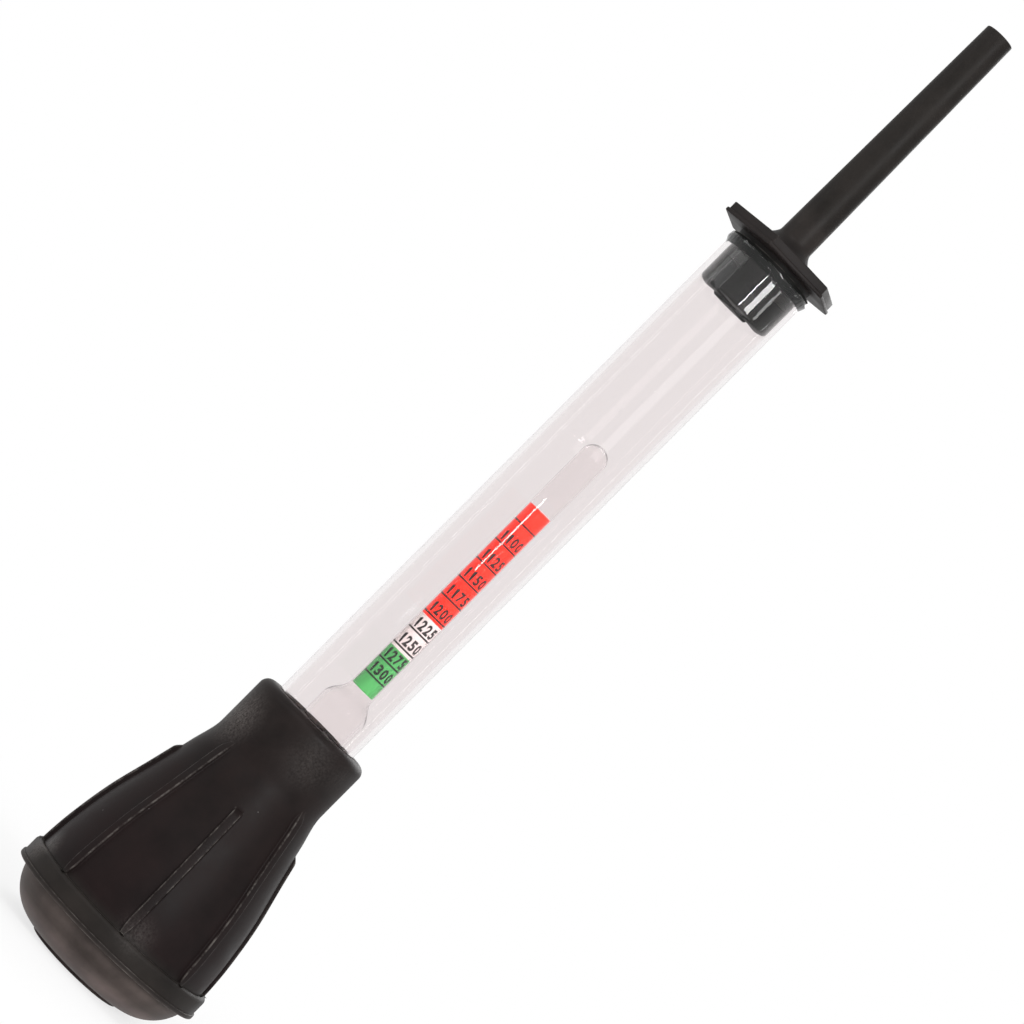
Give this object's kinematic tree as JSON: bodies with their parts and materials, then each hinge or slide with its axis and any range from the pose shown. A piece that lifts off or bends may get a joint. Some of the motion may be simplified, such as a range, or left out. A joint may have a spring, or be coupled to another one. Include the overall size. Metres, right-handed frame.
{
  "type": "battery hydrometer",
  "caption": "Syringe battery hydrometer: ribbed rubber bulb, clear glass barrel, rubber nozzle with a six-sided flange, and a weighted glass float with a banded paper scale.",
  "frame": {"origin": "centre of the flat foot under the bulb's dome", "axes": "+Z along the barrel, from the foot to the nozzle's tip; Y square to two flat sides of the nozzle's six-sided flange, X through two of its corners"},
  "size_m": [0.0564, 0.0564, 0.3107],
  "materials": {
    "black_rubber": "moulded, satin",
    "barrel_glass": "drawn, clear",
    "float_glass": "blown, clear",
    "printed_paper": "printed paper, matt",
    "steel_shot": "rolled balls, dull",
    "sealing_wax": "poured, smooth"
  },
  "bodies": {
    "bulb": {"squeeze_bulb": "black_rubber"},
    "barrel": {"glass_barrel": "barrel_glass"},
    "nozzle": {"nozzle_stopper": "black_rubber"},
    "float": {"float_glass": "float_glass", "scale_slip": "printed_paper", "ballast_shot": "steel_shot", "ballast_seal": "sealing_wax"}
  },
  "joints": [
    {"name": "barrel_pull", "type": "slide", "parent": "bulb", "child": "barrel", "axis": [0, 0, 1], "range_m": [0, 0.024]},
    {"name": "nozzle_pull", "type": "slide", "parent": "barrel", "child": "nozzle", "axis": [0, 0, 1], "range_m": [0, 0.0135]},
    {"name": "float_slide", "type": "slide", "parent": "barrel", "child": "float", "axis": [0, 0, 1], "range_m": [-0.0185, 0.0448]}
  ]
}
